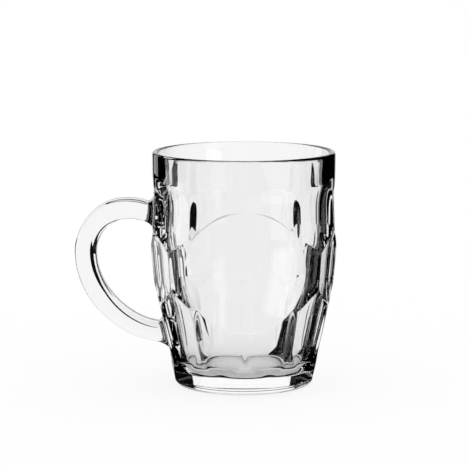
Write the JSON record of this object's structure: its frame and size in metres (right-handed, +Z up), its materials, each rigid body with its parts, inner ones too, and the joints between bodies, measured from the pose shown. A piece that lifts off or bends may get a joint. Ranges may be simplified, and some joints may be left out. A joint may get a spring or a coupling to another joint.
{
  "type": "beer mug",
  "caption": "Heavy clear glass beer mug with a dimpled wall, a smooth round medallion on the front, a rounded lip and a D-shaped bar handle.",
  "frame": {"origin": "middle of the flat underside, on the axis of the bowl", "axes": "+Z up along the axis of the bowl; the handle stands out along -X; the medallion faces -Y"},
  "size_m": [0.145, 0.1033, 0.13],
  "materials": {
    "clear_glass": "clear soda-lime glass, pressed and fire-polished"
  },
  "bodies": {
    "root": {"bowl": "clear_glass", "handle": "clear_glass"}
  },
  "joints": []
}
